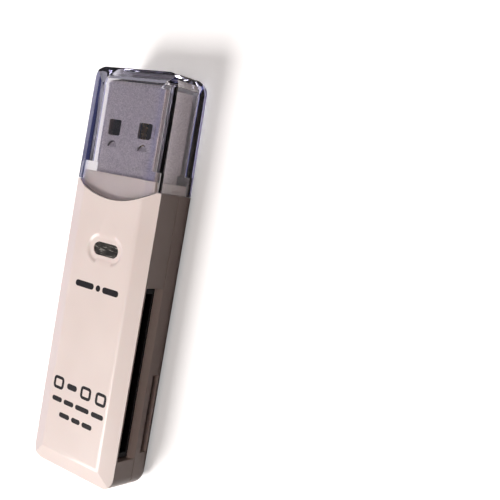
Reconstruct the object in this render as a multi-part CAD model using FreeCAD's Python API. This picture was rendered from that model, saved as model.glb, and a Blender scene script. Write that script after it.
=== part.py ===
import math
import os

import FreeCAD
import Part

V = FreeCAD.Vector
os.makedirs("parts", exist_ok=True)

# All lengths are in mm. X is the width, with the card slots on +X, Y runs
# from the butt end to the plug, Z is the thickness with the front face up.
# The pieces set the outer sizes: both sockets and the board stack up to the
# thickness, the slot, lamp, chip and plug follow each other along the length,
# and the plug with its neck and cap wall gives the width.

# Shell
shell_wall = 1.2
corner_radius = 2.1
facet_width = 2.7
facet_drop = 1.0
front_edge_radius = 2.0
parting_lift = 0.6
seam_depth = 0.14
seam_width = 0.14
lip_height = 0.6
lip_wall = 0.6
lip_gap = 0.08
post_radius = 0.85
post_edge_gap = 0.25
post_corner_room = 1.5
guide_rib = 0.8

# Neck and the curved step the cap closes over
neck_length = 1.5
neck_side_wall = 1.55
neck_edge_radius = 0.6
bump_height = 0.1
bump_radius = 0.5
bump_length = 1.8
bump_from_shoulder = 0.8
arc_depth = 2.3
arc_edge = 0.7

# Plug, on the common plug sizes
plug_width = 12.0
plug_thickness = 4.5
plug_sheet = 0.3
plug_exposed = 13.5
plug_inside = 5.0
plug_edge_radius = 0.45
plug_tip_bevel = 0.12
plug_lift = 0.05
window_width = 2.5
window_length = 2.4
window_corner = 0.3
window_spacing = 6.3
window_from_tip = 5.3
tab_from_window = 1.75
tab_radius = 0.95
tab_slit = 0.2
tab_root = 0.4
tab_tilt = 16
solder_leg_reach = 1.4
solder_leg_root = 0.5
solder_leg_height = 1.3
insulator_block = 3.4
insulator_setback = 0.5
insulator_edge = 0.25
contact_width = 1.0
plug_contact_sheet = 0.25
plug_contact_sink = 0.05
plug_contact_rear = 0.6
plug_contact_bevel = 0.12
outer_contact_x = 3.5
inner_contact_x = 1.0
outer_contact_setback = 1.2
inner_contact_setback = 2.2

# Cap
cap_wall = 1.2
cap_gap = 0.15
shoulder_gap = 0.08
cap_draft = 0.3
cap_edge_radius = 2.0
cap_end_gap = 0.9
cap_end_wall = 1.5
cap_mouth_depth = 2.9
cap_core_side_gap = 0.5
cap_core_face_gap = 0.55
cap_core_edge = 0.7
cap_core_bevel = 0.4

# Circuit board
board_thickness = 1.0
board_side_gap = 0.3
board_butt_gap = 0.5
board_cavity_gap = 0.1
board_plug_gap = 0.3
board_corner_radius = 1.5
board_tongue_gap = 0.3
board_tongue_length = 2.0
tongue_block_gap = 0.1

# Large card slot and its socket
large_card_width = 24.0
large_card_play = 0.2
large_slot_start = 4.65
large_slot_height = 2.3
slot_roof_gap = 0.05
card_contact_room = 0.9
sill_gap = 0.05
sill_wall = 0.8
sill_crest = 0.15
sill_drop = 0.35
large_base_gap = 0.3
large_base_wall = 0.65
large_base_edge_gap = 0.1
large_base_depth = 6.7
large_base_plate = 0.5
large_base_rail = 1.0
large_base_bar = 1.2
large_base_nose_gap = 0.06
large_contacts = 9
large_pitch = 2.5
large_contact_width = 0.9
large_contact_rise = 1.05
large_contact_foot = 1.1
large_contact_flat = 0.8
large_contact_peak = 2.4
large_contact_tip = 1.4
contact_sheet = 0.2
contact_slot_gap = 0.15

# Small card slot and its socket
small_card_width = 11.0
small_card_play = 1.0
small_slot_offset = 0.75
small_slot_lift = 0.1
small_slot_height = 1.3
small_contacts = 8
small_pitch = 1.1
small_contact_width = 0.5
small_contact_drop = 1.15
small_contact_foot = 0.7
small_contact_flat = 1.4
small_contact_slope = 2.8
small_contact_tip = 0.7
small_contact_tip_rise = 0.2
small_contact_end_gap = 0.3
socket_margin = 0.65
socket_rail = 0.6
socket_plate = 0.4
socket_back_gap = 1.4
socket_mouth_gap = 0.5
shield_gap = 0.2
shield_sheet = 0.15
shield_lip = 0.2
finger_x = 2.5
finger_length = 3.1
finger_width = 2.2
finger_slit = 0.5

# Indicator window
window_x = 0.3
window_rib_gap = 1.65
lens_length = 5.2
lens_width = 2.0
dish_length = 7.8
dish_width = 4.8
dish_depth = 0.35
dish_slope = 0.8
lens_sink = 0.1
lens_flange = 0.6
lens_flange_height = 0.5

# Electronic pieces on the board
lamp_length = 1.6
lamp_width = 0.8
lamp_dome_length = 1.0
lamp_base_height = 0.45
lamp_height = 0.75
lamp_leg_gap = 0.3
chip_from_window = 1.5
chip_width = 5.0
chip_length = 3.4
chip_height = 1.2
chip_stand = 0.1
chip_bevel = 0.15
chip_edge_gap = 0.5
chip_leg_pairs = 8
leg_pitch = 0.6
leg_width = 0.24
leg_sheet = 0.15
leg_reach = 0.7
crystal_width = 2.4
crystal_length = 3.0
crystal_height = 0.8
crystal_corner = 0.4
crystal_post_gap = 0.25
crystal_from_chip = 0.8

# Thickness, from the back face up
shield_low = shell_wall + shield_gap
shield_top = shield_low + shield_sheet
small_slot_bottom = shield_top + small_slot_lift
small_slot_top = small_slot_bottom + small_slot_height
board_bottom = small_slot_top + socket_plate
board_top = board_bottom + board_thickness
large_slot_bottom = board_top + card_contact_room
large_slot_top = large_slot_bottom + large_slot_height
inner_top = large_slot_top + slot_roof_gap
body_thickness = inner_top + shell_wall
parting_z = board_bottom + parting_lift
plug_mid = board_top + plug_lift
plug_low = plug_mid - plug_thickness / 2
plug_high = plug_mid + plug_thickness / 2

# Length, from the butt end to the end of the cap
large_slot_length = large_card_width + large_card_play + 2 * (large_base_wall + large_base_gap)
large_slot_end = large_slot_start + large_slot_length
small_slot_start = large_slot_start + small_slot_offset
small_slot_length = small_card_width + small_card_play
small_slot_end = small_slot_start + small_slot_length
window_y = large_slot_end + guide_rib + window_rib_gap + lens_flange + lens_width / 2
chip_y = window_y + lamp_width / 2 + lamp_leg_gap + leg_reach + chip_length / 2
board_end = chip_y + chip_length / 2 + leg_reach + chip_edge_gap
cavity_end = board_end + board_cavity_gap
plug_rear = board_end + board_plug_gap
neck_end = plug_rear + plug_inside
body_length = neck_end - neck_length
plug_tip = neck_end + plug_exposed
cap_mouth = body_length + shoulder_gap
cap_core_end = plug_tip + cap_end_gap
cap_end = cap_core_end + cap_end_wall

# Width, from the middle out
neck_inset = cap_wall + cap_gap
neck_half = plug_width / 2 + neck_side_wall
neck_top = body_thickness - neck_inset
half = neck_half + neck_inset
inner_x = half - shell_wall
board_half_width = inner_x - board_side_gap
post_x = board_half_width - post_edge_gap - post_radius
arc_half_width = half - arc_edge

shift = V(0, -cap_end / 2, 0)


def box(x0, x1, y0, y1, z0, z1):
    return Part.makeBox(x1 - x0, y1 - y0, z1 - z0, V(x0, y0, z0))


def save(name, shape):
    shape = shape.removeSplitter()
    shape.translate(shift)
    shape.exportStep("parts/%s.step" % name)


def round_profile(x, y_round, y_flat, radius, z):
    """Plan outline with two rounded corners at y_round and two square ones."""
    s = 1 if y_flat > y_round else -1
    k = radius * (1 - math.sqrt(0.5))
    a, b = V(-x, y_flat, z), V(-x, y_round + s * radius, z)
    c, d = V(-x + radius, y_round, z), V(x - radius, y_round, z)
    e, f = V(x, y_round + s * radius, z), V(x, y_flat, z)
    left = Part.Arc(b, V(-x + k, y_round + s * k, z), c).toShape()
    right = Part.Arc(d, V(x - k, y_round + s * k, z), e).toShape()
    return Part.Wire([Part.makeLine(a, b), left, Part.makeLine(c, d), right,
                      Part.makeLine(e, f), Part.makeLine(f, a)])


def slab(x, y_round, y_flat, radius, z0, z1):
    face = Part.Face(round_profile(x, y_round, y_flat, radius, z0))
    return face.extrude(V(0, 0, z1 - z0))


def drafted_block(x_round, y_round, y_flat, z1):
    """A block whose plan narrows from half the width to x_round."""
    p = [V(-half, y_flat, 0), V(-x_round, y_round, 0), V(x_round, y_round, 0), V(half, y_flat, 0)]
    return Part.Face(Part.makePolygon(p + p[:1])).extrude(V(0, 0, z1))


def faceted_form(x_round, y_round, y_flat, front_radius):
    """The outer form: straight sides, three mitred facets round the front and
    one radius for the upright corners and the back edges."""
    form = drafted_block(x_round, y_round, y_flat, body_thickness)
    outline = [e for e in form.Edges if e.BoundBox.ZMin > body_thickness - 0.01
               and abs(e.BoundBox.Center.y - y_flat) > 0.01]
    corners = [e for e in form.Edges if e.BoundBox.ZLength > body_thickness - 0.01
               and abs(e.BoundBox.Center.y - y_round) < 0.01]
    low_edges = [e for e in form.Edges if e.BoundBox.ZMax < 0.01
                 and abs(e.BoundBox.Center.y - y_flat) > 0.01]
    rounded = form.makeFillet(corner_radius, corners + low_edges)
    form = form.makeChamfer(facet_drop, facet_width, outline).common(rounded)
    panel_edges = [e for e in form.Edges
                   if e.BoundBox.ZMin > body_thickness - 0.01
                   and abs(e.BoundBox.Center.y - y_flat) > 0.01]
    return form.makeFillet(front_radius, panel_edges)


def side_profile(points, y0, y1):
    """A prism along Y from its points in X and Z."""
    p = [V(x, y0, z) for x, z in points]
    return Part.Face(Part.makePolygon(p + p[:1])).extrude(V(0, y1 - y0, 0))


def rounded_box(x0, x1, y0, y1, z0, z1, radius):
    b = box(x0, x1, y0, y1, z0, z1)
    edges = [e for e in b.Edges if e.BoundBox.YLength > (y1 - y0) - 0.01]
    return b.makeFillet(radius, edges)


def stadium(length, width, x, y, z):
    h, r = (length - width) / 2, width / 2
    a, b = V(x - h, y - r, z), V(x + h, y - r, z)
    c, d = V(x + h, y + r, z), V(x - h, y + r, z)
    return Part.Wire([Part.makeLine(a, b), Part.Arc(b, V(x + h + r, y, z), c).toShape(),
                      Part.makeLine(c, d), Part.Arc(d, V(x - h - r, y, z), a).toShape()])


def stadium_block(length, width, z0, z1):
    return Part.Face(stadium(length, width, window_x, window_y, z0)).extrude(V(0, 0, z1 - z0))


def arc_region(offset, half_width, y_far, z0, z1):
    """Area beyond the curved step, moved towards the plug by offset."""
    a = V(-half_width, body_length + offset, z0)
    m = V(0, body_length - arc_depth + offset, z0)
    b = V(half_width, body_length + offset, z0)
    p = [V(half, body_length + offset, z0), V(half, y_far, z0),
         V(-half, y_far, z0), V(-half, body_length + offset, z0)]
    wire = Part.Wire([Part.Arc(a, m, b).toShape(), Part.makeLine(b, p[0]),
                      Part.makeLine(p[0], p[1]), Part.makeLine(p[1], p[2]),
                      Part.makeLine(p[2], p[3]), Part.makeLine(p[3], a)])
    return Part.Face(wire).extrude(V(0, 0, z1 - z0))


# Outer form of the body with its neck
body = faceted_form(half, 0, body_length, front_edge_radius)
body = body.cut(arc_region(0, arc_half_width, body_length + 1, neck_top, body_thickness + 1))
neck = rounded_box(-neck_half, neck_half, body_length - arc_depth - 1, neck_end,
                   neck_inset, neck_top, neck_edge_radius)
for side in (-1, 1):
    neck = neck.fuse(Part.makeCylinder(bump_radius, bump_length,
                                       V(side * (neck_half + bump_height - bump_radius),
                                         body_length + bump_from_shoulder,
                                         parting_z - bump_length / 2)))
body = body.fuse(neck).removeSplitter()
ring = slab(half + 1, -1, body_length, corner_radius + 1,
            parting_z - seam_width / 2, parting_z + seam_width / 2)
ring = ring.cut(slab(half - seam_depth, seam_depth, body_length,
                     corner_radius - seam_depth, parting_z - 1, parting_z + 1))
body = body.cut(ring)

# Openings shared by the two halves
cavity = slab(inner_x, shell_wall, cavity_end, corner_radius - shell_wall, shell_wall, inner_top)
plug_pocket = rounded_box(-plug_width / 2, plug_width / 2, cavity_end - 0.1, neck_end + 1,
                          plug_low, plug_high, plug_edge_radius)
tail_room = box(-plug_width / 2, plug_width / 2, cavity_end - 0.1, plug_rear, plug_low, plug_high)
hollow = body.cut(cavity).cut(plug_pocket).cut(tail_room)
above = box(-half - 1, half + 1, -1, neck_end + 1, parting_z, body_thickness + 1)
below = box(-half - 1, half + 1, -1, neck_end + 1, -1, parting_z)

# Posts that hold the board between the halves
post_places = [(side * post_x, y) for side in (-1, 1)
               for y in (shell_wall + board_butt_gap + post_edge_gap + post_radius,
                         board_end - post_edge_gap - post_radius - post_corner_room)]

# Front shell
front = hollow.common(above)
large_slot = box(inner_x - 0.5, half + 1, large_slot_start, large_slot_end,
                 large_slot_bottom, large_slot_top)
notch = box(inner_x - 0.5, half + 1, large_slot_start, large_slot_end, parting_z - 1, large_slot_bottom)
for y0 in (large_slot_start - guide_rib, large_slot_end):
    front = front.fuse(box(-inner_x, inner_x, y0, y0 + guide_rib, board_top, inner_top))
front = front.cut(large_slot).cut(notch)
for x, y in post_places:
    front = front.fuse(Part.makeCylinder(post_radius, inner_top - board_top, V(x, y, board_top)))
dish = Part.makeLoft([stadium(dish_length - 2 * dish_slope, dish_width - 2 * dish_slope, window_x, window_y,
                              body_thickness - dish_depth),
                      stadium(dish_length, dish_width, window_x, window_y, body_thickness)],
                     True, True)
lens_top = body_thickness - dish_depth - lens_sink
flange_low = inner_top - lens_flange_height
front = front.cut(dish).cut(stadium_block(lens_length, lens_width, inner_top - 1, body_thickness))
lip = slab(half - lip_wall - lip_gap, lip_wall + lip_gap, cavity_end,
           corner_radius - lip_wall - lip_gap, parting_z - lip_height, parting_z)
lip = lip.cut(slab(inner_x, shell_wall, cavity_end + 1, corner_radius - shell_wall,
                   parting_z - 2, parting_z + 1))
lip = lip.cut(notch).cut(box(-half, half, cavity_end - 0.3, cavity_end + 1, 0, body_thickness))
front = front.fuse(lip)
save("front_shell", front)

# Back shell
back = hollow.common(below)
rebate = slab(half - lip_wall, lip_wall, cavity_end - 0.2, corner_radius - lip_wall,
              parting_z - lip_height - lip_gap, parting_z + 1)
sill_y0 = large_slot_start + sill_gap
sill_y1 = large_slot_end - sill_gap
rebate = rebate.cut(box(inner_x - 1, half, sill_y0, sill_y1, 0, body_thickness))
back = back.cut(rebate)
sill_low, sill_high = parting_z - lip_height, large_slot_bottom - sill_drop
sill_x = half - sill_wall
sill = side_profile([(inner_x, sill_low), (half, sill_low), (half, parting_z), (sill_x + sill_crest, sill_high),
                     (sill_x, sill_high), (sill_x, parting_z), (inner_x, parting_z)], sill_y0, sill_y1)
back = back.fuse(sill)
for x, y in post_places:
    back = back.fuse(Part.makeCylinder(post_radius, board_bottom - shell_wall, V(x, y, shell_wall)))
for y0 in ((small_slot_end + large_slot_end) / 2, large_slot_end):
    back = back.fuse(box(-board_half_width, board_half_width, y0, y0 + guide_rib, shell_wall, board_bottom))
small_slot = box(inner_x - 0.5, half + 1, small_slot_start, small_slot_end,
                 small_slot_bottom, small_slot_top)
back = back.cut(small_slot)
save("back_shell", back)

# Indicator window: a clear lens with a flange glued under the front wall
lens = stadium_block(lens_length, lens_width, inner_top, lens_top)
lens = lens.fuse(stadium_block(lens_length + 2 * lens_flange, lens_width + 2 * lens_flange,
                                flange_low, inner_top))
save("indicator_window", lens)

# Cap
cap = faceted_form(half - cap_draft, cap_end, body_length - arc_depth - 0.5, cap_edge_radius)
tongue = arc_region(shoulder_gap, arc_half_width, cap_mouth + 0.5, body_thickness - cap_wall,
                    body_thickness + 1)
kept = box(-half - 1, half + 1, cap_mouth, cap_end + 1, -1, body_thickness + 1).fuse(tongue)
cap = cap.common(kept)
cap = cap.cut(rounded_box(-half + cap_wall, half - cap_wall, body_length - arc_depth - 1,
                          body_length + cap_mouth_depth, cap_wall, body_thickness - cap_wall,
                          neck_edge_radius + cap_gap / 2))
core_half = plug_width / 2 + cap_core_side_gap
core = rounded_box(-core_half, core_half, body_length, cap_core_end,
                   plug_low - cap_core_face_gap, plug_high + cap_core_face_gap, cap_core_edge)
core_rims = [e for e in core.Edges if abs(e.BoundBox.YMin - cap_core_end) < 0.01]
core = core.makeChamfer(cap_core_bevel, core_rims)
cap = cap.cut(core)
save("cap", cap)

# Circuit board, with a tongue that reaches into the back of the plug
board = box(-board_half_width, board_half_width, shell_wall + board_butt_gap, board_end,
            board_bottom, board_top)
upright = [e for e in board.Edges if e.BoundBox.ZLength > board_thickness - 0.01
           and e.BoundBox.Center.y < 10]
board = board.makeFillet(board_corner_radius, upright)
tongue_half = plug_width / 2 - plug_sheet - board_tongue_gap
board_tongue = box(-tongue_half, tongue_half, board_end - 1, plug_rear + board_tongue_length,
                   board_bottom, board_top)
board = board.fuse(board_tongue)
save("circuit_board", board)

# Plug shell: a folded tube with four windows, pressed tabs and solder legs
tube = rounded_box(-plug_width / 2, plug_width / 2, plug_rear, plug_tip,
                   plug_low, plug_high, plug_edge_radius)
tip_edges = [e for e in tube.Edges if abs(e.BoundBox.YMin - plug_tip) < 0.01]
tube = tube.makeChamfer(plug_tip_bevel, tip_edges)
tube = tube.cut(rounded_box(-plug_width / 2 + plug_sheet, plug_width / 2 - plug_sheet,
                            plug_rear - 1, plug_tip + 1, plug_low + plug_sheet,
                            plug_high - plug_sheet, plug_edge_radius - plug_sheet + 0.05))
window_y1 = plug_tip - window_from_tip
window_y0 = window_y1 - window_length
for x in (-window_spacing / 2, window_spacing / 2):
    for z0 in (plug_low - 1, plug_high - 1):
        hole = box(x - window_width / 2, x + window_width / 2, window_y0, window_y1, z0, z0 + 2)
        upright = [e for e in hole.Edges if e.BoundBox.ZLength > 1.9]
        tube = tube.cut(hole.makeFillet(window_corner, upright))
    tab_y = window_y0 - tab_from_window
    slit = Part.makeCylinder(tab_radius, 1, V(x, tab_y, plug_high - 0.5))
    slit = slit.common(box(x - 2 * tab_radius, x + 2 * tab_radius, tab_y, tab_y + 2 * tab_radius,
                           plug_mid, plug_high + 1))
    tube = tube.cut(slit)
    tab = Part.makeCylinder(tab_radius - tab_slit, plug_sheet, V(x, tab_y, plug_high - plug_sheet))
    tab = tab.common(box(x - 2 * tab_radius, x + 2 * tab_radius, tab_y - tab_root, tab_y + 2 * tab_radius,
                         plug_mid, plug_high + 1))
    tab.rotate(V(x, tab_y - tab_root, plug_high - plug_sheet), V(1, 0, 0), -tab_tilt)
    tube = tube.fuse(tab)
for side in (-1, 1):
    x0 = side * (plug_width / 2) - (plug_sheet if side > 0 else 0)
    tube = tube.fuse(box(x0, x0 + plug_sheet, plug_rear - solder_leg_reach, plug_rear + solder_leg_root,
                         board_top, board_top + solder_leg_height))
save("plug_shell", tube)

# Plug insulator and its four contact blades
tongue_low, tongue_high = plug_low + plug_sheet, board_top + plug_contact_sink
block_high = plug_high - plug_sheet
insulator_half = plug_width / 2 - plug_sheet
block_start = plug_rear + board_tongue_length + tongue_block_gap
insulator = box(-insulator_half, insulator_half, block_start, block_start + insulator_block,
                tongue_low, block_high)
insulator = insulator.fuse(box(-insulator_half, insulator_half, block_start,
                               plug_tip - insulator_setback, tongue_low, tongue_high))
round_edges = [e for e in insulator.Edges if e.BoundBox.YLength > insulator_block - 0.01 and
               abs(abs(e.BoundBox.Center.x) - insulator_half) < 0.01 and
               (e.BoundBox.ZMax < tongue_low + 0.01 or e.BoundBox.ZMin > block_high - 0.01)]
insulator = insulator.makeFillet(insulator_edge, round_edges)
blades = []
blade_high = board_top + plug_contact_sheet
for x, setback in ((-outer_contact_x, outer_contact_setback), (-inner_contact_x, inner_contact_setback),
                   (inner_contact_x, inner_contact_setback), (outer_contact_x, outer_contact_setback)):
    far = plug_tip - setback
    blade = box(x - contact_width / 2, x + contact_width / 2, plug_rear + plug_contact_rear, far,
                board_top, blade_high)
    end_edges = [e for e in blade.Edges if e.BoundBox.YMin > far - 0.01
                 and e.BoundBox.ZMin > blade_high - 0.01]
    blades.append(blade.makeChamfer(plug_contact_bevel, end_edges))
    insulator = insulator.cut(box(x - contact_width / 2, x + contact_width / 2, block_start - 1, far,
                                  board_top, blade_high))
save("plug_insulator", insulator)
for number, blade in enumerate(blades):
    save("plug_contact_%d" % (number + 1), blade)


def strip(points, y, width, sheet):
    """A bent strip: a centre line in X and Z given the sheet's thickness."""
    upper = [(x, z + sheet) for x, z in points]
    return side_profile(points + upper[::-1], y - width / 2, y + width / 2)


# Large card socket: a moulded frame round three sides, a front bar that fills
# the slot up to its sill and that the card rides over, and nine springs
# through slots in the rear plate
base_left = -board_half_width + large_base_edge_gap
base_nose = sill_x - large_base_nose_gap
bar_x = board_half_width - large_base_edge_gap - large_base_bar
base_right = base_left + large_base_depth
base_y0, base_y1 = large_slot_start + large_base_gap, large_slot_end - large_base_gap
base_high = board_top + large_base_plate
rail_high = large_slot_bottom - sill_gap
large_base = box(base_left, base_nose, base_y0, base_y1, board_top, large_slot_top - slot_roof_gap)
large_base = large_base.cut(box(base_left + large_base_wall, base_nose + 1, base_y0 + large_base_wall,
                                base_y1 - large_base_wall, rail_high, body_thickness))
large_base = large_base.cut(box(base_left + large_base_wall, bar_x, base_y0 + large_base_rail,
                                base_y1 - large_base_rail, base_high, body_thickness))
large_base = large_base.cut(box(base_right, bar_x, base_y0 + large_base_rail,
                                base_y1 - large_base_rail, board_top - 1, body_thickness))
first_large = (base_y0 + base_y1) / 2 - large_pitch * (large_contacts - 1) / 2
spring_line = [(base_right + large_contact_foot, board_top), (base_right - large_contact_flat, board_top),
               (base_left + large_contact_peak, board_top + large_contact_rise),
               (base_left + large_contact_tip, board_top + 0.7 * large_contact_rise)]
slot_half = large_contact_width / 2 + contact_slot_gap
for number in range(large_contacts):
    y = first_large + number * large_pitch
    large_base = large_base.cut(box(base_left + large_base_wall + contact_slot_gap, base_right + 1,
                                    y - slot_half, y + slot_half, board_top - 1, rail_high))
    save("large_card_contact_%d" % (number + 1),
         strip(spring_line, y, large_contact_width, contact_sheet))
save("large_card_base", large_base)

# Small card socket under the board: base, shield and eight springs
socket_right = inner_x - socket_mouth_gap
socket_left = -inner_x + socket_back_gap
socket_y0, socket_y1 = small_slot_start - socket_margin, small_slot_end + socket_margin
base_low = small_slot_top
small_base = box(socket_left, socket_right, socket_y0, socket_y1, base_low, board_bottom)
for y0 in (socket_y0, socket_y1 - socket_rail):
    small_base = small_base.fuse(box(socket_left, socket_right, y0, y0 + socket_rail, shield_top, base_low))
small_base = small_base.fuse(box(socket_left, socket_left + socket_rail, socket_y0, socket_y1,
                                 shield_top, base_low))
middle = (socket_y0 + socket_y1) / 2
bend_x = socket_left + small_contact_flat + small_contact_slope
spring_low = board_bottom - small_contact_drop
small_line = [(socket_left - small_contact_foot, board_bottom - contact_sheet),
              (socket_left + small_contact_flat, board_bottom - contact_sheet),
              (bend_x, spring_low),
              (bend_x + small_contact_tip, spring_low + small_contact_tip_rise)]
slot_half = small_contact_width / 2 + contact_slot_gap / 2
for number in range(small_contacts):
    y = middle + (number - (small_contacts - 1) / 2) * small_pitch
    small_base = small_base.cut(box(socket_left - 1, bend_x + small_contact_tip + small_contact_end_gap,
                                    y - slot_half, y + slot_half, base_low, board_bottom + 1))
    save("small_card_contact_%d" % (number + 1),
         strip(small_line, y, small_contact_width, contact_sheet))
save("small_card_base", small_base)
shield = box(socket_left, socket_right + shield_lip, socket_y0 - shield_sheet, socket_y1 + shield_sheet,
             shield_low, board_bottom)
shield = shield.cut(box(socket_left - 1, socket_right + shield_lip + 1, socket_y0, socket_y1,
                        shield_top, board_bottom + 1))
for x in (-finger_x, finger_x):
    finger = box(x, x + finger_length, middle - finger_width / 2, middle + finger_width / 2, 0, shield_top)
    slit = box(x, x + finger_length + finger_slit, middle - finger_width / 2 - finger_slit,
               middle + finger_width / 2 + finger_slit, 0, shield_top)
    shield = shield.cut(slit.cut(finger))
save("small_card_shield", shield)

# Chip with its sixteen legs
chip_x = window_x - chip_from_window
chip = box(chip_x - chip_width / 2, chip_x + chip_width / 2, chip_y - chip_length / 2,
           chip_y + chip_length / 2, board_top + chip_stand, board_top + chip_stand + chip_height)
top_edges = [e for e in chip.Edges if e.BoundBox.ZMin > board_top + chip_stand + chip_height - 0.01]
chip = chip.makeChamfer(chip_bevel, top_edges)
save("controller_chip", chip)
legs = []
shoulder_z = board_top + chip_stand + chip_height / 3
for number in range(chip_leg_pairs):
    x = chip_x + (number - (chip_leg_pairs - 1) / 2) * leg_pitch
    for side in (-1, 1):
        root = chip_y + side * chip_length / 2
        line = [(root, shoulder_z), (root + side * leg_reach * 0.4, shoulder_z),
                (root + side * leg_reach * 0.6, board_top), (root + side * leg_reach, board_top)]
        leg = strip([(side * y, z) for y, z in line], 0, leg_width, leg_sheet)
        leg.rotate(V(0, 0, 0), V(0, 0, 1), 90 * side)
        leg.translate(V(x, 0, 0))
        legs.append(leg)
leg_set = Part.makeCompound(legs)
leg_set.translate(shift)
leg_set.exportStep("parts/controller_legs.step")

# Indicator lamp under the window
lamp = box(window_x - lamp_length / 2, window_x + lamp_length / 2, window_y - lamp_width / 2,
           window_y + lamp_width / 2, board_top, board_top + lamp_base_height)
lamp = lamp.fuse(box(window_x - lamp_dome_length / 2, window_x + lamp_dome_length / 2,
                     window_y - lamp_width / 2, window_y + lamp_width / 2,
                     board_top, board_top + lamp_height))
save("indicator_lamp", lamp)

# Crystal can
crystal_x = post_x - post_radius - crystal_post_gap - crystal_width / 2
crystal_y = chip_y - crystal_from_chip
crystal = box(crystal_x - crystal_width / 2, crystal_x + crystal_width / 2,
              crystal_y - crystal_length / 2, crystal_y + crystal_length / 2,
              board_top, board_top + crystal_height)
crystal = crystal.makeFillet(crystal_corner,
                             [e for e in crystal.Edges if e.BoundBox.ZLength > crystal_height - 0.01])
save("crystal", crystal)


def chip_part(x, y, length, width, height, turned, side):
    """A two-ended part: a middle and two end caps fused into one solid."""
    a, b = (width, length) if turned else (length, width)
    z0 = board_top if side > 0 else board_bottom - height
    whole = box(x - a / 2, x + a / 2, y - b / 2, y + b / 2, z0, z0 + height)
    band = 0.3 * length
    if turned:
        waist = box(x - 2, x + 2, y - band, y + band, z0 - 1, z0 + height + 1).cut(
            box(x - a / 2 + 0.04, x + a / 2 - 0.04, y - 2, y + 2, z0 + 0.04, z0 + height - 0.04))
    else:
        waist = box(x - band, x + band, y - 2, y + 2, z0 - 1, z0 + height + 1).cut(
            box(x - 2, x + 2, y - b / 2 + 0.04, y + b / 2 - 0.04, z0 + 0.04, z0 + height - 0.04))
    return whole.cut(waist)


edge_x = -board_half_width + 2.1
for number, (x, y, side) in enumerate([(edge_x, window_y - 1.0, 1), (edge_x, window_y + 0.4, 1),
                                       (crystal_x, window_y - 1.2, 1), (0, window_y + 0.2, -1)]):
    save("capacitor_%d" % (number + 1), chip_part(x, y, 1.6, 0.8, 0.8, False, side))
for number, (x, y, side) in enumerate([(chip_x - 1.4, window_y - 0.9, 1), (chip_x - 1.4, window_y + 0.1, 1),
                                       (crystal_x - 1.0, board_end - 0.9, 1), (chip_x - 2.0, chip_y - 1.4, -1)]):
    save("resistor_%d" % (number + 1), chip_part(x, y, 1.0, 0.5, 0.35, False, side))
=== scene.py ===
# %% [markdown]
# A card reader the size of a finger lies face up on a pale table, its clear
# cap pushed home over the plug. The solids come from the CAD model. This
# lesson dresses them: it gives every outer moulding its soft edges, builds
# the printed marks, and writes a finish for each piece.

# %% Load the solids
import math

import bmesh
import bpy
from mathutils import Matrix, Vector


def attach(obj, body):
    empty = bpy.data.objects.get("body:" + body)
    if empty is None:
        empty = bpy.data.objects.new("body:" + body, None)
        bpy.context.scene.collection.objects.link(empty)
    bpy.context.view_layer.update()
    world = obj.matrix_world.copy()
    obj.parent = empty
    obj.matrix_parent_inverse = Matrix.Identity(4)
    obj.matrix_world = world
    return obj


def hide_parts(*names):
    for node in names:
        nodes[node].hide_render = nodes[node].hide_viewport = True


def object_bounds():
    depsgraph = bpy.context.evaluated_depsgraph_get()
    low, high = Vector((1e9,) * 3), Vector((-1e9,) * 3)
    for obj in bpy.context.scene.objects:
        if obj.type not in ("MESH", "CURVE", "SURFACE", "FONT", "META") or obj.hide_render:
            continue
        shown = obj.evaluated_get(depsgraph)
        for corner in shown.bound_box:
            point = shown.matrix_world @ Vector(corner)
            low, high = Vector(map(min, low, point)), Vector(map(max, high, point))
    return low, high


MM = 0.001
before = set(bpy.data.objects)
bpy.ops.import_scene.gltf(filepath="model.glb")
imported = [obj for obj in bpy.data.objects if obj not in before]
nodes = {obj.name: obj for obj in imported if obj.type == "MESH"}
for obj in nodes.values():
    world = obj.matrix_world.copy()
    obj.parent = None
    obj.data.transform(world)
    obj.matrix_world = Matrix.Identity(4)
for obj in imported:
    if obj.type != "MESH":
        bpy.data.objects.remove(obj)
cad_low, cad_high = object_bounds()
print("solids", len(nodes), "size in mm", [round(v / MM, 1) for v in cad_high - cad_low])

# %% [markdown]
# The camera stands where the photographer stood: to the slot side, above the
# front, a little past the middle. Its place, direction and lens were found by
# fitting the body's edges, the plug and the slots. The two shifts slide the
# picture over the sensor without turning the camera.

# %% Camera
CAMERA_PLACE = Vector((88.84, 16.87, 94.73)) * MM
CAMERA_LOOKS = Vector((-0.58766, -0.07345, -0.80576))
CAMERA_UP = Vector((-0.18406, 0.98190, 0.04473))
FOCAL_PIXELS = 820.2
FRAME_PIXELS = 500
SENSOR_WIDTH = 36.0
SHIFT_ACROSS = 0.006
SHIFT_UP = -0.0055
NEAREST_SEEN = 5 * MM


def aim(place, looks, up):
    """A matrix that stands at place and looks along looks, with up kept up."""
    back = -looks.normalized()
    right = up.cross(back).normalized()
    top = back.cross(right)
    turn = Matrix((right, top, back)).transposed().to_4x4()
    return Matrix.Translation(place) @ turn


camera_data = bpy.data.cameras.new("camera")
camera_data.sensor_width = SENSOR_WIDTH
camera_data.lens = FOCAL_PIXELS / FRAME_PIXELS * SENSOR_WIDTH
camera_data.shift_x = SHIFT_ACROSS
camera_data.shift_y = SHIFT_UP
camera_data.clip_start = NEAREST_SEEN
camera = bpy.data.objects.new("camera", camera_data)
camera.matrix_world = aim(CAMERA_PLACE, CAMERA_LOOKS, CAMERA_UP)
bpy.context.scene.collection.objects.link(camera)
bpy.context.scene.camera = camera
print("lens in mm", round(camera_data.lens, 1))

# %% [markdown]
# A finish is a small node tree. These helpers make the nodes that every
# finish, the table and the world share. The noise reads Object coordinates,
# so a grain keeps its real size and stays with its piece when that moves.

# %% Helpers for node trees
NOISE_LOW = 0.3
NOISE_HIGH = 0.7


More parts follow.
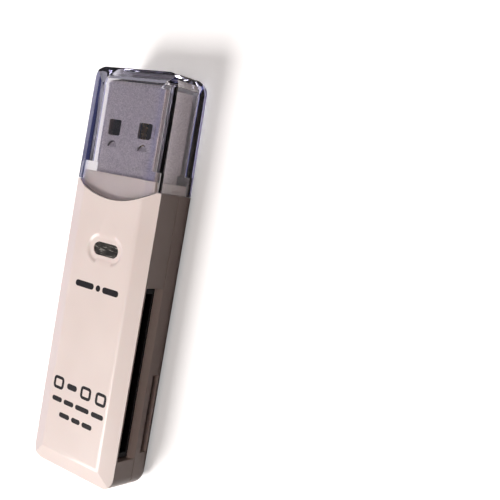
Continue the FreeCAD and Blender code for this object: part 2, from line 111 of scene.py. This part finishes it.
def grain(material, scale, detail=3.0, rough=0.55, stretch=(1, 1, 1)):
    """Noise in object space; scale is in bumps per metre."""
    tree = material.node_tree
    place = tree.nodes.new("ShaderNodeTexCoord")
    mapping = tree.nodes.new("ShaderNodeMapping")
    mapping.inputs["Scale"].default_value = stretch
    noise = tree.nodes.new("ShaderNodeTexNoise")
    noise.inputs["Scale"].default_value = scale
    noise.inputs["Detail"].default_value = detail
    noise.inputs["Roughness"].default_value = rough
    tree.links.new(place.outputs["Object"], mapping.inputs["Vector"])
    tree.links.new(mapping.outputs["Vector"], noise.inputs["Vector"])
    return noise.outputs["Fac"]


def remap(tree, value, source, target):
    """Takes a value from the source range to the target range."""
    band = tree.nodes.new("ShaderNodeMapRange")
    band.inputs["From Min"].default_value = source[0]
    band.inputs["From Max"].default_value = source[1]
    band.inputs["To Min"].default_value = target[0]
    band.inputs["To Max"].default_value = target[1]
    tree.links.new(value, band.inputs["Value"])
    return band.outputs["Result"]


def colour_ramp(tree, value, stops):
    """Turns a value into a colour; each stop is a position and its colour."""
    ramp = tree.nodes.new("ShaderNodeValToRGB")
    first, last = ramp.color_ramp.elements[0], ramp.color_ramp.elements[1]
    for element, (position, colour) in ((first, stops[0]), (last, stops[-1])):
        element.position = position
        element.color = (*colour, 1)
    for position, colour in stops[1:-1]:
        ramp.color_ramp.elements.new(position).color = (*colour, 1)
    tree.links.new(value, ramp.inputs["Fac"])
    return ramp.outputs["Color"]


def maths(tree, operation, first, second):
    """One value worked out from two others."""
    node = tree.nodes.new("ShaderNodeMath")
    node.operation = operation
    tree.links.new(first, node.inputs[0])
    tree.links.new(second, node.inputs[1])
    return node.outputs[0]


# %% Helpers for finishes
def new_finish(name, **values):
    """A material whose main shader has the named sockets set."""
    material = bpy.data.materials.new(name)
    material.use_nodes = True
    for socket, value in values.items():
        main_shader(material).inputs[socket.replace("_", " ")].default_value = value
    return material


def main_shader(material):
    """The shader that every finish here is built on."""
    return material.node_tree.nodes["Principled BSDF"]


def vary_colour(material, noise, stops):
    """Colours a finish by noise, through a ramp."""
    tree = material.node_tree
    tree.links.new(colour_ramp(tree, noise, stops), main_shader(material).inputs["Base Color"])


def vary_roughness(material, noise, low, high):
    """Lets the roughness drift between low and high."""
    tree = material.node_tree
    rough = remap(tree, noise, (NOISE_LOW, NOISE_HIGH), (low, high))
    tree.links.new(rough, main_shader(material).inputs["Roughness"])


def relief(material, noise, height, strength):
    """Turns noise into a shallow bump on the surface."""
    tree = material.node_tree
    bump = tree.nodes.new("ShaderNodeBump")
    bump.inputs["Strength"].default_value = strength
    bump.inputs["Distance"].default_value = height
    tree.links.new(noise, bump.inputs["Height"])
    tree.links.new(bump.outputs["Normal"], main_shader(material).inputs["Normal"])


def two_tone(name, colour_grain, dark, light, gloss_grain, gloss, **values):
    """A finish that drifts from dark to light, with a roughness that drifts too."""
    material = new_finish(name, **values)
    vary_colour(material, grain(material, *colour_grain), [(NOISE_LOW, dark), (NOISE_HIGH, light)])
    vary_roughness(material, grain(material, *gloss_grain), *gloss)
    return material


# %% [markdown]
# The body is white moulded plastic, warm in tone and half glossy. A moulding
# is never quite flat, so a broad soft waviness bends its reflections, and its
# colour and gloss drift a little from place to place.

# %% White shell plastic
shell_finish = two_tone(
    "shell_plastic", colour_grain=(110, 1.0), dark=(0.76, 0.665, 0.625), light=(0.80, 0.705, 0.665),
    gloss_grain=(260, 1.0), gloss=(0.30, 0.36), IOR=1.5, Coat_Weight=0.12, Coat_Roughness=0.12,
    Subsurface_Weight=0.04, Subsurface_Scale=0.6 * MM)
relief(shell_finish, grain(shell_finish, 90, 1.0), height=0.12 * MM, strength=0.10)

# %% [markdown]
# The plug is folded from nickel plated sheet. Close up it has a blasted grain
# with brighter specks, so three noises of different size vary its colour, its
# roughness and a shallow bump. The shield inside is rolled sheet, and its
# stretched noise draws streaks across it.

# %% Plug and shield metal
plug_finish = new_finish("plug_metal", Metallic=1.0)
vary_colour(plug_finish, grain(plug_finish, 5200, 6.0, 0.7), [
    (0.38, (0.49, 0.44, 0.45)), (0.52, (0.67, 0.61, 0.62)),
    (0.64, (0.80, 0.74, 0.74)), (0.69, (0.96, 0.92, 0.90))])
vary_roughness(plug_finish, grain(plug_finish, 1500, 4.0), 0.34, 0.52)
relief(plug_finish, grain(plug_finish, 5000, 3.0), height=0.03 * MM, strength=0.6)

shield_finish = two_tone(
    "shield_metal", colour_grain=(900, 3.0, 0.5, (1, 8, 1)), dark=(0.50, 0.49, 0.48),
    light=(0.64, 0.63, 0.62), gloss_grain=(2500, 3.0), gloss=(0.22, 0.34), Metallic=1.0)

# %% [markdown]
# The cap is clear plastic with walls over a millimetre thick. Its tint hardly
# shows through one wall and turns violet grey along an edge. That comes from
# light being absorbed on its way, so the colour sits in the volume, and the
# surface itself is nearly perfect glass with faint handling marks. The window
# is a smoky lens, only half see-through, with paler streaks along it.

# %% Clear cap and smoky window
CAP_ABSORBS = (0.18, 0.16, 0.60, 1)
CAP_DENSITY = 28.0

cap_finish = new_finish(
    "cap_plastic", Base_Color=(0.995, 0.995, 1.0, 1), Transmission_Weight=1.0, IOR=1.49,
    Specular_IOR_Level=0.4)
vary_roughness(cap_finish, grain(cap_finish, 700, 5.0), 0.005, 0.03)
relief(cap_finish, grain(cap_finish, 260, 2.0), height=0.04 * MM, strength=0.10)
cap_tree = cap_finish.node_tree
cap_volume = cap_tree.nodes.new("ShaderNodeVolumeAbsorption")
cap_volume.inputs["Color"].default_value = CAP_ABSORBS
cap_volume.inputs["Density"].default_value = CAP_DENSITY
cap_tree.links.new(cap_volume.outputs["Volume"], cap_tree.nodes["Material Output"].inputs["Volume"])

window_finish = new_finish("window_plastic", Transmission_Weight=0.55, IOR=1.49)
vary_colour(window_finish, grain(window_finish, 700, 3.0, 0.5, (1, 5, 1)), [
    (0.42, (0.045, 0.042, 0.036)), (0.56, (0.12, 0.115, 0.10)), (0.66, (0.42, 0.41, 0.38))])
vary_roughness(window_finish, grain(window_finish, 1800, 3.0), 0.03, 0.16)

# %% [markdown]
# The inner pieces show only through the slots, the window and the plug's
# holes. They still get true finishes: dark moulded plastic, a green board,
# gold springs and small ceramic parts.

# %% Inner finishes
black_finish = two_tone(
    "black_plastic", colour_grain=(1200, 3.0), dark=(0.012, 0.012, 0.013), light=(0.022, 0.022, 0.024),
    gloss_grain=(3000, 3.0), gloss=(0.42, 0.6), IOR=1.5, Specular_IOR_Level=0.2)

board_finish = new_finish("board_mask", Coat_Weight=0.3, Coat_Roughness=0.2)
vary_colour(board_finish, grain(board_finish, 1800, 2.0, 0.5, (1, 0.3, 1)), [
    (0.4, (0.012, 0.07, 0.035)), (0.6, (0.02, 0.10, 0.05))])
vary_roughness(board_finish, grain(board_finish, 2600, 2.0), 0.3, 0.45)

gold_finish = two_tone(
    "contact_gold", colour_grain=(3000, 3.0), dark=(0.72, 0.50, 0.20), light=(0.88, 0.66, 0.32),
    gloss_grain=(2000, 2.0), gloss=(0.18, 0.32), Metallic=1.0)
tin_finish = two_tone(
    "tinned_metal", colour_grain=(4000, 3.0), dark=(0.58, 0.58, 0.58), light=(0.76, 0.76, 0.75),
    gloss_grain=(3000, 2.0), gloss=(0.25, 0.4), Metallic=1.0)
ceramic_finish = two_tone(
    "ceramic_tan", colour_grain=(5000, 3.0), dark=(0.40, 0.29, 0.18), light=(0.52, 0.39, 0.26),
    gloss_grain=(3000, 2.0), gloss=(0.4, 0.55))
resistor_finish = two_tone(
    "resistor_dark", colour_grain=(5000, 3.0), dark=(0.03, 0.03, 0.03), light=(0.06, 0.06, 0.065),
    gloss_grain=(3000, 2.0), gloss=(0.35, 0.5))
lamp_finish = two_tone(
    "lamp_lens", colour_grain=(3000, 2.0), dark=(0.78, 0.74, 0.55), light=(0.88, 0.85, 0.68),
    gloss_grain=(2000, 2.0), gloss=(0.2, 0.3), Coat_Weight=0.4)

# %% Give each inner solid its finish
INNER_FINISHES = {
    "plug_insulator": black_finish,
    "large_card_base": black_finish,
    "small_card_base": black_finish,
    "controller_chip": black_finish,
    "circuit_board": board_finish,
    "small_card_shield": shield_finish,
    "controller_legs": tin_finish,
    "crystal": tin_finish,
    "indicator_lamp": lamp_finish,
    "plug_contact": gold_finish,
    "large_card_contact": gold_finish,
    "small_card_contact": gold_finish,
    "capacitor": ceramic_finish,
    "resistor": resistor_finish,
}
dressed = 0
for name, node in nodes.items():
    kind = name.rstrip("_0123456789")
    if kind in INNER_FINISHES:
        node.data.materials.clear()
        node.data.materials.append(INNER_FINISHES[kind])
        dressed += 1
print("inner solids dressed", dressed)

# %% [markdown]
# The outer mouldings keep the CAD shape, which is already right, but a loose
# triangle mesh shades flat and its edges are razor sharp. Each is copied, its
# doubles are merged, flat triangles are joined into faces, and a narrow bevel
# rounds every hard edge so that it catches a line of light as the mould's
# edge does. Weighted normals keep the broad faces flat beside their bevels.
# The copy then stands for the solid.

# %% Soften a moulding
MERGE_DISTANCE = 0.002 * MM
FLAT_ANGLE = math.radians(0.4)
SHARP_ANGLE = math.radians(24)
BEVEL_ANGLE = math.radians(28)
BEVEL_STEPS = 3


def soften(node_name, body, finish, edge_width):
    """A merged, bevelled copy of a CAD node that stands for it."""
    form = bmesh.new()
    form.from_mesh(nodes[node_name].data)
    bmesh.ops.remove_doubles(form, verts=form.verts, dist=MERGE_DISTANCE)
    bmesh.ops.dissolve_limit(form, angle_limit=FLAT_ANGLE, verts=form.verts, edges=form.edges)
    for face in form.faces:
        face.smooth = True
    for edge in form.edges:
        edge.smooth = edge.calc_face_angle(0.0) < SHARP_ANGLE
    mesh = bpy.data.meshes.new(node_name + "_moulding")
    form.to_mesh(mesh)
    form.free()
    piece = bpy.data.objects.new(node_name + "_moulding", mesh)
    bpy.context.scene.collection.objects.link(piece)
    mesh.materials.append(finish)
    bevel = piece.modifiers.new("soft_edges", "BEVEL")
    bevel.width = edge_width
    bevel.segments = BEVEL_STEPS
    bevel.limit_method = "ANGLE"
    bevel.angle_limit = BEVEL_ANGLE
    flat = piece.modifiers.new("flat_faces", "WEIGHTED_NORMAL")
    flat.keep_sharp = True
    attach(piece, body)
    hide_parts(node_name)
    print(node_name, "faces", len(mesh.polygons))


# %% Soften the shells, the plug, the window and the cap
SHELL_EDGE = 0.08 * MM
PLUG_EDGE = 0.03 * MM
WINDOW_EDGE = 0.05 * MM
CAP_EDGE = 0.35 * MM

soften("front_shell", "reader", shell_finish, SHELL_EDGE)
soften("back_shell", "reader", shell_finish, SHELL_EDGE)
soften("plug_shell", "reader", plug_finish, PLUG_EDGE)
soften("indicator_window", "reader", window_finish, WINDOW_EDGE)
soften("cap", "cap", cap_finish, CAP_EDGE)

# %% [markdown]
# The front carries four rows of black print. They are drawn here as plain
# signs: two bars with a dot, three card outlines with a bar, and two rows of
# small bars. Printed ink stands about a hundredth of a millimetre proud, so
# each mark is a thin flat solid: a grid face, its corners rounded by a bevel,
# the middle of an outline opened by an inset, and the whole then extruded.

# %% Ink
ink_finish = two_tone(
    "print_ink", colour_grain=(2400, 3.0), dark=(0.010, 0.009, 0.010), light=(0.020, 0.018, 0.019),
    gloss_grain=(5200, 3.0), gloss=(0.35, 0.5), IOR=1.45, Specular_IOR_Level=0.2)

PANEL_Z = cad_high.z
BUTT_Y = cad_low.y
INK_SUNK = 0.01 * MM
INK_PROUD = 0.012 * MM
CORNER_STEPS = 4


def add_mark(form, x, y, length, height, corner, line=None):
    """One flat mark centred at x, y (mm, y from the butt end); line opens it."""
    grid = bmesh.ops.create_grid(form, x_segments=1, y_segments=1, size=0.5)["verts"]
    bmesh.ops.scale(form, vec=(length * MM, height * MM, 1), verts=grid)
    bmesh.ops.translate(form, vec=(x * MM, BUTT_Y + y * MM, PANEL_Z + INK_PROUD), verts=grid)
    rounded = bmesh.ops.bevel(form, geom=grid, offset=corner * MM, segments=CORNER_STEPS, profile=0.5,
                              affect="VERTICES", material=-1)
    if line is not None:
        middle = list({face for vert in rounded["verts"] for face in vert.link_faces})
        bmesh.ops.inset_region(form, faces=middle, thickness=line * MM,
                               use_boundary=True, use_even_offset=True)
        bmesh.ops.delete(form, geom=middle, context="FACES")


def print_row(name, y, marks):
    """A row of marks as one thin printed piece; each mark is x, length and style."""
    form = bmesh.new()
    for x, length, style in marks:
        add_mark(form, x, y, length, **style)
    skin = bmesh.ops.extrude_face_region(form, geom=form.faces[:])
    moved = [item for item in skin["geom"] if isinstance(item, bmesh.types.BMVert)]
    bmesh.ops.translate(form, vec=(0, 0, -INK_PROUD - INK_SUNK), verts=moved)
    bmesh.ops.recalc_face_normals(form, faces=form.faces[:])
    mesh = bpy.data.meshes.new(name)
    form.to_mesh(mesh)
    form.free()
    mesh.materials.append(ink_finish)
    row = bpy.data.objects.new(name, mesh)
    bpy.context.scene.collection.objects.link(row)
    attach(row, "reader")
    print(name, "marks", len(marks), "faces", len(mesh.polygons))


# %% Print the four rows
TALL_BAR = {"height": 0.95, "corner": 0.45}
OUTLINE = {"height": 2.0, "corner": 0.6, "line": 0.46}
OUTLINE_BAR = {"height": 0.9, "corner": 0.42}
SMALL_BAR = {"height": 0.75, "corner": 0.34}

print_row("print_bar_and_dot", 28.9, [
    (-2.6, 4.0, TALL_BAR), (0.35, 0.95, TALL_BAR), (3.0, 3.4, TALL_BAR)])
print_row("print_card_outlines", 13.0, [
    (-4.7, 2.3, OUTLINE), (-1.7, 2.2, OUTLINE_BAR), (1.4, 2.3, OUTLINE), (4.7, 2.3, OUTLINE)])
print_row("print_long_bars", 10.45, [
    (-4.55, 2.2, SMALL_BAR), (-1.9, 2.2, SMALL_BAR), (1.15, 3.0, SMALL_BAR), (4.5, 2.6, SMALL_BAR)])
print_row("print_short_bars", 8.3, [
    (-2.4, 2.3, SMALL_BAR), (0.2, 1.9, SMALL_BAR), (2.7, 2.2, SMALL_BAR)])

# %% [markdown]
# The table is a pale sheet far larger than the view. A camera ray sees it
# near white, and so do reflections and the view through the cap. For the
# camera it also glows: a little by the reader, so that its shadows stay soft,
# and fully far out, where the lamps don't reach and it meets the white world.
# Light that bounces off it on its way to the reader sees a nearly black sheet,
# which keeps the side away from the lamp deep in shade.

# %% Table
TABLE_HALF = 1.5
TABLE_DROP = 0.05 * MM
TABLE_BOUNCE = (0.018, 0.011, 0.010, 1)
TABLE_SEEN = (0.90, 0.90, 0.90, 1)
GLOW_REACH = (0.10, 0.60)
GLOW_STRENGTH = (0.36, 1.0)


def ray_kind(tree, kind):
    """One where a ray of the named kind arrives, else nought."""
    return tree.nodes.new("ShaderNodeLightPath").outputs[kind]


def seen_directly(tree):
    """One where a camera, glossy or see-through ray arrives, else nought."""
    plain_view = maths(tree, "MAXIMUM", ray_kind(tree, "Is Camera Ray"), ray_kind(tree, "Is Glossy Ray"))
    return maths(tree, "MAXIMUM", plain_view, ray_kind(tree, "Is Transmission Ray"))


def pick_colour(tree, choice, plain, seen):
    """The plain colour where choice is nought, the seen one where it is one."""
    pick = tree.nodes.new("ShaderNodeMix")
    pick.data_type = "RGBA"
    for side, colour in (("A", plain), ("B", seen)):
        if isinstance(colour, tuple):
            pick.inputs[side].default_value = colour
        else:
            tree.links.new(colour, pick.inputs[side])
    tree.links.new(choice, pick.inputs["Factor"])
    return pick.outputs["Result"]


def glow_far_out(tree):
    """A glow for camera rays that grows with the distance from the reader."""
    place = tree.nodes.new("ShaderNodeTexCoord")
    reach = tree.nodes.new("ShaderNodeVectorMath")
    reach.operation = "LENGTH"
    tree.links.new(place.outputs["Object"], reach.inputs[0])
    glow = remap(tree, reach.outputs["Value"], GLOW_REACH, GLOW_STRENGTH)
    return maths(tree, "MULTIPLY", ray_kind(tree, "Is Camera Ray"), glow)


table_finish = new_finish(
    "table_pale", Roughness=0.9, Specular_IOR_Level=0.0, Emission_Color=(1, 1, 1, 1))
table_tree = table_finish.node_tree
table_colour = pick_colour(table_tree, seen_directly(table_tree), TABLE_BOUNCE, TABLE_SEEN)
table_tree.links.new(table_colour, main_shader(table_finish).inputs["Base Color"])
table_tree.links.new(glow_far_out(table_tree), main_shader(table_finish).inputs["Emission Strength"])

table_form = bmesh.new()
bmesh.ops.create_grid(table_form, x_segments=1, y_segments=1, size=TABLE_HALF)
table_mesh = bpy.data.meshes.new("table")
table_form.to_mesh(table_mesh)
table_form.free()
table_mesh.transform(Matrix.Translation((0, 0, -TABLE_DROP)))
table_mesh.materials.append(table_finish)
table = bpy.data.objects.new("table", table_mesh)
bpy.context.scene.collection.objects.link(table)
print("table half width in m", TABLE_HALF)

# %% [markdown]
# One broad lamp stands before the butt end, on the side away from the slots,
# and lights the front face. A weaker one, high over the slot side, opens up
# the sill below the large slot. Both face the middle of the reader.

# %% Lamps
LAMP_UP = Vector((0, 1, 0.01))


def area_lamp(name, place, size, watts, colour):
    """A square lamp at place, in metres, that faces the middle of the reader."""
    data = bpy.data.lights.new(name, "AREA")
    data.shape = "SQUARE"
    data.size = size
    data.energy = watts
    data.color = colour
    lamp = bpy.data.objects.new(name, data)
    lamp.matrix_world = aim(Vector(place), -Vector(place), LAMP_UP)
    bpy.context.scene.collection.objects.link(lamp)


area_lamp("key_lamp", place=(-0.23, -0.42, 0.54), size=0.36, watts=6.4, colour=(1.0, 0.965, 0.95))
area_lamp("fill_lamp", place=(0.22, 0.05, 0.66), size=0.50, watts=1.05, colour=(1.0, 0.82, 0.75))

# %% [markdown]
# The camera sees a white world behind the table. Metal, gloss and the clear
# cap see a studio there, coloured by how far left or right a ray heads:
# violet blue far to the left, grey from there to overhead, and dark on the
# slot side. Every other ray gets only a trace of light from the world.

# %% World
SKY_FILL = (0.014, 0.010, 0.010, 1)
SKY_SEEN = (1.0, 1.0, 1.0, 1)
STUDIO = [
    (0.03, (0.17, 0.20, 0.60)), (0.12, (0.28, 0.27, 0.31)), (0.36, (0.26, 0.25, 0.26)),
    (0.52, (0.03, 0.025, 0.025)), (1.0, (0.02, 0.018, 0.018))]

world = bpy.data.worlds.new("sky")
bpy.context.scene.world = world
world.use_nodes = True
sky_tree = world.node_tree
heading = sky_tree.nodes.new("ShaderNodeTexCoord")
heading_parts = sky_tree.nodes.new("ShaderNodeSeparateXYZ")
sky_tree.links.new(heading.outputs["Generated"], heading_parts.inputs["Vector"])
left_to_right = remap(sky_tree, heading_parts.outputs["X"], (-1.0, 1.0), (0.0, 1.0))
studio = colour_ramp(sky_tree, left_to_right, STUDIO)
sky_round = pick_colour(sky_tree, seen_directly(sky_tree), SKY_FILL, studio)
sky_colour = pick_colour(sky_tree, ray_kind(sky_tree, "Is Camera Ray"), sky_round, SKY_SEEN)
sky_tree.links.new(sky_colour, sky_tree.nodes["Background"].inputs["Color"])
bpy.context.scene.view_settings.view_transform = "Standard"
print("studio stops", len(STUDIO))
